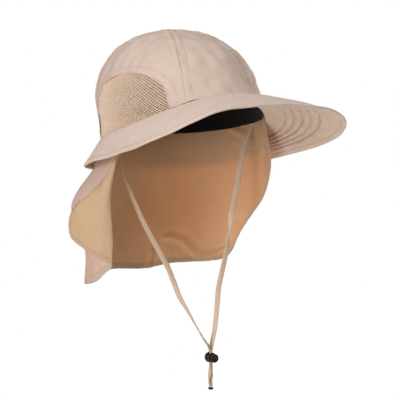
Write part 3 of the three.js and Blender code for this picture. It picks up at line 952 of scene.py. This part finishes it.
def panel_relief(phi, height, grid, start, end):
    """How far a panel stands off the dome, for its seams, puckers and hem and the cloth's ripples."""
    from_tip = np.hypot(grid[..., 0], grid[..., 1] - TIP_Y)
    seam = np.minimum(phi - start, end - phi) * from_tip
    pucker = np.sin(height * 1.1 + 1.7 * np.sin(height * 0.31)) * ridge(seam - 4, 5)
    relief = -0.8 * ridge(seam, 0.8) + 0.4 * ridge(seam - 3.2, 2.2)
    relief -= 0.4 * ridge(seam - TOP_STITCH, 0.8)
    relief = (relief + 0.38 * pucker) * smooth((from_tip - 6) / 14)
    hem = height - height[:, :1]
    relief += 0.35 * np.sin(phi * 34 + 2 * np.sin(phi * 9)) * ridge(hem, 9)
    calm = smooth((CROWN_HEIGHT - height) / 12)
    relief += (1.1 * waves(grid, 46, 3) + 0.8 * waves(grid * (1, 1, 0.6), 17, 5)) * calm
    return relief - 0.9 * wrinkles(grid * (1, 1, 0.7), 34, 31) * calm * smooth((seam - 2) / 12)


class HAT_OT_crown(bpy.types.Operator):
    """Build the crown's cloth panels with their seams and topstitching"""
    bl_idname = "hat.crown"
    bl_label = "Crown"

    def execute(self, context):
        sizes, colours = context.scene.hat_sizes, context.scene.hat_colours
        outside = shared("brushed_nylon_crown", woven_nylon, colours.crown, sizes.weave)
        # The inside face is the crown's own nylon darkened to 0.8: painted shade inside the crown.
        inside = shared("nylon_lining_crown", woven_nylon, tone(colours.crown, 0.8), sizes.weave)
        turn = 2 * math.pi
        for name, cad, side, start, end, columns in (
            ("crown_panel_front", "crown_front", 0, -FRONT_SEAM, FRONT_SEAM, 36),
            ("crown_panel_left", "crown_side_left", 1, FRONT_SEAM, REAR_SEAM, 104),
            ("crown_panel_rear", "crown_rear", 0, REAR_SEAM, turn - REAR_SEAM, 110),
            ("crown_panel_right", "crown_side_right", -1, turn - REAR_SEAM, turn - FRONT_SEAM, 104),
        ):
            phi, height, grid = panel_grid(start, end, columns, 110)
            relief = panel_relief(phi, height, grid, start, end)
            if side:
                arch = window_distance(grid[..., 1], height)
                relief += 0.35 * ridge(arch - 3.2, 2.6) - 0.5 * ridge(arch - 6.8, 0.9)
                relief += 0.12 * np.sin(grid[..., 1] * 1.1) * ridge(arch - 5, 4)
            out = normals_of(grid)
            shape = grid + out * relief[..., None]
            if cad == "crown_rear":
                raised = rotate_tilt(shape + out * 0.7)[:, :-6:3]
                piping("crown_piping_left", raised[0], CROWN_PIPING, outside)
                piping("crown_piping_right", raised[-1], CROWN_PIPING, outside)
            cloth = cloth_from(name, shape, merged=True)
            lined(cloth, [outside, inside])
            walled(cloth, CROWN_CLOTH, -1)
            if side:
                cut_window(cloth)
            cloth.data.transform(Matrix.Rotation(-TILT, 4, "X"))
            cloth.data.update()
            dressed(cloth, node=cad)
            beside_seams = [(start, SEAM_STITCH), (start, TOP_STITCH), (end, -SEAM_STITCH)]
            if cad == "crown_front":
                beside_seams.append((end, -TOP_STITCH))
            lines = [seam_line(seam, away) for seam, away in beside_seams]
            for margin in WINDOW_STITCHES if side else ():
                y, z = window_line(margin)
                keep = z > np.maximum(seam_height_at(y) + CROWN_LIFT + 1, -14)
                lines.append(rotate_tilt(dome_from_side(y[keep], z[keep], 0, side)))
            stitches(name + "_stitches", cloth, lines)
        return {"FINISHED"}


def seam_height_at(y):
    """Height of the brim seam under a point of the crown's side, by its y."""
    return seam_height(np.arccos(np.clip(-y / HEAD_HALF_LENGTH, -1, 1)))


def seam_line(phi, away):
    """Line beside a seam of the crown, a few millimetres to one side of it."""
    turned = one_turn(phi)
    base = float(seam_height(angle_seen(turned, np.zeros(1)))[0]) + CROWN_LIFT + 1.5
    z = np.linspace(0, CROWN_HEIGHT * 0.985, 80)
    z = z[z > base]
    p = crown_point(angle_seen(turned, z), z, 0)
    radius = np.hypot(p[:, 0], p[:, 1] - TIP_Y)
    z, radius = z[radius > 12], radius[radius > 12]
    return rotate_tilt(crown_point(angle_seen(turned + away / radius, z), z, 0))


def cut_window(cloth):
    """Cuts the net window through a panel, with a block of the window's outline."""
    y, z = window_line(CLEARANCE, 90)
    mesh = bpy.data.meshes.new("window_block")
    reach = 2 * HEAD_HALF_WIDTH
    ring = [(x * MM, a * MM, b * MM) for x in (-reach, reach) for a, b in zip(y, z)]
    n = len(y)
    faces = [tuple(range(n)), tuple(range(2 * n - 1, n - 1, -1))]
    faces += [(k, k + n, (k + 1) % n + n, (k + 1) % n) for k in range(n)]
    mesh.from_pydata(ring, [], faces)
    cutter = bpy.data.objects.new("window_block", mesh)
    bpy.context.scene.collection.objects.link(cutter)
    faced_out(cutter)
    combined(cloth, cutter, "DIFFERENCE")


class HAT_OT_net(bpy.types.Operator):
    """Build the net windows as real threads, knotted in a diamond pattern"""
    bl_idname = "hat.net"
    bl_label = "Net windows"

    def execute(self, context):
        sizes, colours = context.scene.hat_sizes, context.scene.hat_colours
        yarn = shared("polyester_net", spun_thread, colours.net)
        pitch = sizes.net_pitch / MM
        for side, name, cad in ((1, "net_left", "mesh_panel_left"), (-1, "net_right", "mesh_panel_right")):
            steps = int(2 * (WINDOW_FRONT + WINDOW_REAR) / pitch)
            obj, at = flat_grid(name, steps, steps, steps * pitch)
            root = math.sqrt(0.5)
            y = (at[:, 0] - at[:, 1]) * root + WINDOW_MIDDLE
            z = (at[:, 0] + at[:, 1]) * root * 0.8 + 10
            low = seam_height_at(y) + CROWN_LIFT - 0.6
            inside = (window_distance(y, z) < NET_OVERLAP) & (z > low - pitch)
            inside &= np.abs(y) < HEAD_HALF_LENGTH
            points = rotate_tilt(dome_from_side(y, np.maximum(z, low), NET_INSET, side))
            obj.data.vertices.foreach_set("co", (points * MM).ravel())
            pick(obj)
            bpy.ops.object.mode_set(mode="EDIT")
            made = bmesh.from_edit_mesh(obj.data)
            gone = [v for v in made.verts if not inside[v.index]]
            bmesh.ops.delete(made, geom=gone, context="VERTS")
            if side < 0:
                bmesh.ops.reverse_faces(made, faces=made.faces[:])
            bmesh.update_edit_mesh(obj.data)
            bpy.ops.object.mode_set(mode="OBJECT")
            wire = obj.modifiers.new("threads", "WIREFRAME")
            wire.thickness = sizes.net_thread
            wire.use_boundary = True
            wire.use_even_offset = False
            apply_modifiers(obj)
            dressed(obj, [yarn], node=cad)
        return {"FINISHED"}


def quilting(phase, pitch, angle):
    """Relief of the quilted rows: a dent along each, with gathered cloth between and beyond them."""
    depth = np.clip(pitch / 5.5, 0.3, 1.5)
    relief = np.zeros_like(phase)
    for row in range(1, QUILT_ROWS + 1):
        relief -= depth * ridge((phase - row) * pitch, 1.3)
    between = smooth(phase / 0.6) * smooth((QUILT_ROWS + 1 - phase) / 0.6) * np.abs(np.sin(phase * math.pi))
    gather = np.sin(angle * 52 + 2.2 * np.sin(angle * 11) + 2.4 * np.floor(phase))
    relief += 0.5 * depth * (1 + gather) * between
    ripple = np.sin(angle * 84 + 2.6 * np.sin(angle * 9))
    relief += 0.5 * ripple * ridge(phase - QUILT_ROWS - 0.5, 0.8) * (phase > QUILT_ROWS)
    return relief * smooth((QUILT_END - np.abs(angle)) / 0.2)


class HAT_OT_brim(bpy.types.Operator):
    """Build the drooping brim with its quilted rows and edge stitching"""
    bl_idname = "hat.brim"
    bl_label = "Brim"

    def execute(self, context):
        sizes, colours = context.scene.hat_sizes, context.scene.hat_colours
        above = shared("brushed_nylon_brim", woven_nylon, colours.brim, sizes.weave)
        # The underside's colour is the brim's nylon drawn lighter than the top: painted light under the
        # brim.
        below = shared("nylon_lining_brim", woven_nylon, colours.under_painted_light, sizes.weave)
        t = even_angles(360)
        across, rim, half = 100, 8, BRIM_THICKNESS / 2
        share = np.concatenate([
            np.linspace(0, 1, across), np.ones(rim), np.linspace(1, 0, across), [0]])
        lift = np.concatenate([
            np.ones(across), np.cos(np.linspace(0, math.pi, rim + 2))[1:-1], -np.ones(across), [1]])
        from_root = brim_point(t, np.ones_like(t)) - brim_point(t, np.zeros_like(t))
        reach = np.maximum(np.linalg.norm(from_root, axis=1), 1)[:, None]
        round_in = half * (1 - np.sqrt(np.clip(1 - lift ** 2, 0, 1)))
        s = share - np.where(share == 1, round_in, 0) / reach
        s = np.minimum(s, 1 - np.where(np.abs(lift) == 1, half, 0) / reach)
        at, step = t[:, None] + 0 * s, 1e-3
        middle = brim_point(at, s)
        up = np.cross(brim_point(at, s + step) - middle, brim_point(at + step, s) - middle)
        up /= np.maximum(np.linalg.norm(up, axis=-1, keepdims=True), 1e-12)
        up *= np.sign(up[..., 2:3])
        from_edge = nearest(middle, brim_point(np.linspace(0, 2 * math.pi, 4001), np.ones(4001)))
        angle = np.arctan2(middle[..., 0], -middle[..., 1])
        phase = (s - QUILT_FIRST) / QUILT_STEP + 1
        relief = -0.5 * ridge(from_edge - BRIM_STITCH, 0.9) + 0.2 * ridge(from_edge - BRIM_STITCH / 2, 2.2)
        quilt = quilting(phase, QUILT_STEP * reach, angle)
        relief += np.where(lift < -0.5, 1, 0.15) * quilt * smooth((from_edge - 7) / 3)
        relief += 0.16 * np.sin(angle * 90 + 3 * np.sin(angle * 17)) * ridge(from_edge - 6, 4)
        flat = middle * (1, 1, 0)
        sway = 0.7 * waves(flat, 60, 11) * smooth(s * reach / 20)
        sway += 0.25 * waves(flat, 24, 12) * smooth(s * reach / 15)
        face = np.sign(lift) * (np.abs(lift) > 0.9)
        shape = middle + up * (lift * half + relief * face + sway)[..., None]
        obj = cloth_from("brim_cloth", rotate_tilt(shape), merged=True)
        faced_out(obj)
        dressed(obj, [above, below], node="brim", angle=80)
        for polygon in obj.data.polygons:
            if polygon.normal.z < -0.15:
                polygon.material_index = 1
        lines = [offset_line(middle, up, from_edge, BRIM_STITCH, sign, lift) for sign in (1, -1)]
        near = np.where(np.abs(angle) < QUILT_END - 0.1, phase, -1)
        rings = [offset_line(middle, up, near, row, -1, lift) for row in range(1, QUILT_ROWS + 1)]
        stitches("brim_stitches", obj, [rotate_tilt(line) for line in lines])
        stitches("brim_quilting", obj, [rotate_tilt(ring) for ring in rings])
        return {"FINISHED"}


def nearest(points, line):
    """Distance of each point from a line of points."""
    tree = KDTree(len(line))
    for k, p in enumerate(line):
        tree.insert(p, k)
    tree.balance()
    return np.array([tree.find(p)[2] for p in points.reshape(-1, 3)]).reshape(points.shape[:-1])


def offset_line(middle, up, distance, wanted, sign, lift):
    """Line on one face of the brim where a distance has the wanted value."""
    columns = np.where((lift * sign) > 0.99)[0]
    columns = columns[columns < len(lift) - 1]
    line = []
    count = middle.shape[0]
    for i in [*range(count // 2, count), *range(count // 2)]:
        d = distance[i, columns]
        cross = np.where((d[:-1] - wanted) * (d[1:] - wanted) <= 0)[0]
        if len(cross):
            k = cross[0]
            w = (wanted - d[k]) / ((d[k + 1] - d[k]) or 1)
            a, b = columns[k], columns[k + 1]
            p = middle[i, a] * (1 - w) + middle[i, b] * w
            line.append(p + up[i, a] * sign * BRIM_THICKNESS / 2)
    return np.array(line)


class HAT_OT_band(bpy.types.Operator):
    """Build the sweatband inside the head opening"""
    bl_idname = "hat.band"
    bl_label = "Sweatband"

    def execute(self, context):
        terry = shared("terry_knit", knitted_terry, context.scene.hat_colours.band)
        columns, rows = 300, 26
        t = np.linspace(0, 2 * math.pi, columns + 1)[:, None]
        around = np.linspace(0, 2 * math.pi, 2 * rows + 1)
        depth = (np.sign(np.cos(around)) * np.abs(np.cos(around)) ** 0.12 + 1) / 2
        low = band_edge_height(t)
        height = low + (BAND_TOP - low) * (np.sin(around) + 1) / 2
        grid = crown_point(t + 0 * height, height, 0 * height)
        outward = np.stack([
            np.sin(t) / HEAD_HALF_WIDTH + 0 * height, -np.cos(t) / HEAD_HALF_LENGTH + 0 * height,
            0 * height], -1)
        outward /= np.linalg.norm(outward, axis=-1, keepdims=True)
        gather = 0.35 * np.sin(t * 58 + 1.5 * np.sin(t * 13)) * ridge(height - low, 7) * depth
        roll = 0.5 * ridge(height - low - 1.5, 2) * depth
        grid = grid - outward * (BAND_INSET + BAND_THICKNESS * depth + gather + roll)[..., None]
        obj = cloth_from("sweatband_knit", rotate_tilt(grid), merged=True)
        faced_out(obj)
        dressed(obj, [terry], node="sweatband", angle=80)
        return {"FINISHED"}


def cape_reach(u):
    """Share of the drop to which each column of the cape goes, so that its lower corners are round."""
    end = np.ones_like(u)
    for corner, away in ((CAPE_CORNER_LEFT, u), (CAPE_CORNER_RIGHT, 1 - u)):
        turn = np.clip(1 - away * WIDTH_TO_DROP / corner, 0, 1)
        end -= corner * (1 - np.sqrt(1 - turn ** 2))
    return end


class HAT_OT_cape(bpy.types.Operator):
    """Build the neck cape with its hem, folds and creases"""
    bl_idname = "hat.cape"
    bl_label = "Neck cape"

    def execute(self, context):
        sizes, colours = context.scene.hat_sizes, context.scene.hat_colours
        outside = shared("ripstop_nylon_outside", woven_nylon, colours.cape_out, sizes.weave,
                         ripstop=sizes.ripstop, glow=tone(colours.cape_out, 0.95))
        # The inside is drawn warmer and deeper than the outside: painted light bouncing inside the cape.
        inside = shared("ripstop_nylon_inside", woven_nylon, colours.cape_in_painted_bounce, sizes.weave,
                        ripstop=sizes.ripstop, sheen=0.1, glow=colours.cape_glow)
        facing = shared("nylon_hem_facing", woven_nylon, colours.hem, sizes.weave)
        columns, levels = 480, 240
        base = cape_grid(columns, levels)
        u = close_spacing(CAPE_WIDE, 190, HEM_STEPS)
        hem = 1 - np.array(HEM_STEPS)[::-1] / CAPE_LONG
        v = np.concatenate([np.linspace(0, hem[0], 110)[:-1], hem])
        grid = resample_grid(base, u, v * cape_reach(u)[:, None])
        across, down = np.moveaxis(arc_lengths(grid) / MM, -1, 0)
        from_left, from_right, from_hem = across - across[:1], across[-1:] - across, down[:, -1:] - down
        from_side = np.minimum(from_left, from_right)
        border = np.minimum(from_side, from_hem)
        relief = 0.8 * waves(grid, 52, 21) + 0.25 * waves(grid, 19, 22) - 0.9 * wrinkles(grid, 60, 41)
        relief *= smooth(down / 30)
        for crease, height, breadth in CAPE_CREASES:
            at = [(np.abs(u - a).argmin(), np.abs(v - b).argmin()) for a, b in crease]
            away = beside([(across[k], down[k]) for k in at], across, down)
            relief += height * (ridge(away, breadth) - 0.6 * ridge(away - 2.4 * breadth, 1.3 * breadth))
        relief += 0.2 * np.sin(down * 0.9) * ridge(from_side - 5, 6)
        relief += 0.2 * np.sin(across * 0.8) * ridge(from_hem - 5, 6)
        shape = grid + normals_of(grid) * relief[..., None]
        obj = cloth_from("cape_cloth", shape)
        lined(obj, [inside, outside, facing, outside])
        thick = obj.vertex_groups.new(name="thick")
        layer = 0.42 + 0.58 * smooth(6.2 - border) - 0.3 * ridge(border - 5.2, 0.6)
        for index, value in enumerate(layer.T.ravel()):
            thick.add([index], float(value), "REPLACE")
        at_border = np.minimum(from_left, from_hem).T.ravel() < CAPE_STITCH + 0.1
        for polygon in obj.data.polygons:
            polygon.material_index = 2 if at_border[list(polygon.vertices)].all() else 0
        walled(obj, CAPE_HEM, 0, "thick")
        dressed(obj, node="neck_cape", angle=60)
        full = arc_lengths(base)
        row = HEM_STEPS.index(CAPE_STITCH)
        out = normals_of(shape)
        lines = []
        for side in (1, -1):
            raised = shape + out * side * 0.6
            lines += [raised[row, 12:-row], raised[row:-row, -1 - row], raised[-1 - row, 12:-row]]
        stitches("cape_stitches", obj, lines)
        for name, line, thickness, material, base_colour in (
            ("cape_piping_left", shape[0, 8::6], CAPE_PIPING_LEFT, "nylon_binding", colours.hem),
            ("cape_piping_right", shape[-1, 14::6], CAPE_PIPING_RIGHT, "nylon_piping", colours.brim),
        ):
            piping(name, line, thickness, shared(material, woven_nylon, base_colour, sizes.weave))
        return {"FINISHED"}


def resample_grid(base, u, v):
    """Bilinear reading of a fine grid at shares u of its width and, for each u, shares v of its drop."""
    nu, nv = base.shape[0] - 1, base.shape[1] - 1
    i, j = np.minimum((u * nu).astype(int), nu - 1)[:, None], np.minimum((v * nv).astype(int), nv - 1)
    a, b = (u * nu)[:, None, None] - i[..., None], (v * nv)[..., None] - j[..., None]
    return ((base[i, j] * (1 - a) + base[i + 1, j] * a) * (1 - b)
            + (base[i, j + 1] * (1 - a) + base[i + 1, j + 1] * a) * b)


def cylinder(name, radius, depth, place, sides=48):
    """A cylinder lying front to rear, given in millimetres."""
    select_none()
    bpy.ops.mesh.primitive_cylinder_add(
        vertices=sides, radius=radius * MM, depth=depth * MM,
        location=[c * MM for c in place], rotation=(math.pi / 2, 0, 0))
    obj = named(name)
    bpy.ops.object.transform_apply(location=True, rotation=True, scale=True)
    return obj


def rounded(obj, width, segments=4):
    """Rounds a solid's sharp edges, by a width in millimetres."""
    bevel = obj.modifiers.new("edges", "BEVEL")
    bevel.width = width * MM
    bevel.segments = segments
    bevel.limit_method = "ANGLE"
    bevel.angle_limit = math.radians(40)
    apply_modifiers(obj)


def block(name, size, place, turn=0.0):
    """A box with its width, depth and height in millimetres, turned about the front to rear axis."""
    select_none()
    bpy.ops.mesh.primitive_cube_add(
        size=1, location=[c * MM for c in place], scale=[c * MM for c in size], rotation=(0, turn, 0))
    obj = named(name)
    bpy.ops.object.transform_apply(location=True, rotation=True, scale=True)
    return obj


class HAT_OT_lock(bpy.types.Operator):
    """Build the cord lock, its push button and the crimp on the cord ends"""
    bl_idname = "hat.lock"
    bl_label = "Cord lock"

    def execute(self, context):
        plastic = shared("moulded_acetal", moulded_plastic, context.scene.hat_colours.plastic)
        x, y, z = LOCK_CENTRE
        half = LOCK_LENGTH / 2

        barrel = cylinder("lock_barrel", LOCK_RADIUS, LOCK_LENGTH, (x, y, z))
        rounded(barrel, 0.9)
        for along in LOCK_GROOVES:
            bpy.ops.mesh.primitive_torus_add(
                major_radius=(LOCK_RADIUS + GROOVE_LIFT) * MM, minor_radius=GROOVE_RADIUS * MM,
                major_segments=48, minor_segments=10, location=(x * MM, (y + along) * MM, z * MM),
                rotation=(math.pi / 2, 0, 0))
            combined(barrel, bpy.context.object, "DIFFERENCE")
        depth = LOCK_LENGTH - LOCK_FLOOR
        bore = cylinder("bore", BORE_RADIUS, depth, (x, y - half + depth / 2 - CLEARANCE, z), 40)
        combined(barrel, bore, "DIFFERENCE")
        for way in (1, -1):
            mouth = block("mouth", MOUTH_SIZE, (x, y, z + way * (BORE_RADIUS + 0.6 + MOUTH_SIZE[2] / 2)))
            combined(barrel, mouth, "DIFFERENCE")
        dressed(barrel, [plastic], node="cord_lock_body", angle=35)

        front = y - half - PLUNGER_STROKE - CLEARANCE
        button = cylinder(
            "lock_button", BUTTON_RADIUS, BUTTON_THICKNESS, (x, front - BUTTON_THICKNESS / 2, z))
        rounded(button, 0.75, 5)
        bpy.ops.mesh.primitive_uv_sphere_add(
            segments=48, ring_count=32, radius=DISH_RADIUS * MM,
            location=(x * MM, (front - BUTTON_THICKNESS - DISH_RADIUS + DISH_DEPTH) * MM, z * MM))
        combined(button, bpy.context.object, "DIFFERENCE")
        stem_end = y + half - LOCK_FLOOR - 2 * CLEARANCE - PLUNGER_STROKE
        length = stem_end - front + 0.6
        stem = cylinder("stem", BORE_RADIUS - CLEARANCE, length, (x, stem_end - length / 2, z), 40)
        combined(button, stem, "UNION")
        dressed(button, [plastic], body="plunger", node="cord_lock_plunger", angle=35)

        low, high = (np.array(corner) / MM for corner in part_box("cord_tip"))
        crimp = block("cord_crimp", (high - low) * CRIMP_SHARE, (low + high) / 2, CRIMP_TURN)
        rounded(crimp, 0.8)
        dressed(crimp, [plastic], node="cord_tip")
        return {"FINISHED"}


class HAT_OT_stage(bpy.types.Operator):
    """Set up the pale floor, the soft lights and the world"""
    bl_idname = "hat.stage"
    bl_label = "Stage"

    def execute(self, context):
        paper = shared("studio_paper", matt_paper, "#ECEAE6")
        select_none()
        bpy.ops.mesh.primitive_plane_add(size=FLOOR_SIZE, location=(0, 0, FLOOR_HEIGHT))
        floor = named("floor")
        floor.data.materials.append(paper)
        context.scene.view_settings.view_transform = "Standard"
        world = bpy.data.worlds.new("studio")
        context.scene.world = world
        world.use_nodes = True
        tree = world.node_tree
        tree.nodes.clear()
        seen = node(tree, "ShaderNodeLightPath").outputs["Is Camera Ray"]
        strength = node(tree, "ShaderNodeMapRange", {"Value": seen, "To Min": AMBIENT, "To Max": 1.0})
        sky = node(tree, "ShaderNodeBackground", {"Strength": strength.outputs["Result"]})
        sky.inputs["Color"].default_value = (1, 1, 1, 1)
        node(tree, "ShaderNodeOutputWorld", {"Surface": sky.outputs[0]})
        right, up, back = camera_axes()
        for name, place, size, power in LAMPS:
            place = right * place[0] + up * place[1] + back * place[2]
            bpy.ops.object.light_add(type="AREA", location=place)
            lamp = named(name)
            lamp.data.size = size
            lamp.data.energy = power
            lamp.rotation_euler = (place - Vector(AIM)).to_track_quat("Z", "Y").to_euler()
        return {"FINISHED"}


class HAT_PT_panel(bpy.types.Panel):
    bl_label = "Sun hat"
    bl_idname = "HAT_PT_panel"
    bl_space_type = "VIEW_3D"
    bl_region_type = "UI"
    bl_category = "Hat"

    def draw(self, context):
        for operator in OPERATORS:
            self.layout.operator(operator.bl_idname)
        for group in (context.scene.hat_sizes, context.scene.hat_colours):
            box = self.layout.box()
            for name in group.__annotations__:
                box.prop(group, name)


OPERATORS = (
    HAT_OT_camera, HAT_OT_lock, HAT_OT_cord, HAT_OT_crown, HAT_OT_net, HAT_OT_brim, HAT_OT_band,
    HAT_OT_cape, HAT_OT_stage,
)
CLASSES = (HatSizes, HatColours, *OPERATORS, HAT_PT_panel)


def register():
    for each in CLASSES:
        bpy.utils.register_class(each)
    bpy.types.Scene.hat_sizes = PointerProperty(type=HatSizes)
    bpy.types.Scene.hat_colours = PointerProperty(type=HatColours)


def unregister():
    del bpy.types.Scene.hat_colours
    del bpy.types.Scene.hat_sizes
    for each in reversed(CLASSES):
        bpy.utils.unregister_class(each)


def main():
    register()
    for operator in OPERATORS:
        getattr(bpy.ops.hat, operator.bl_idname.split(".")[1])()


if __name__ == "__main__":
    main()
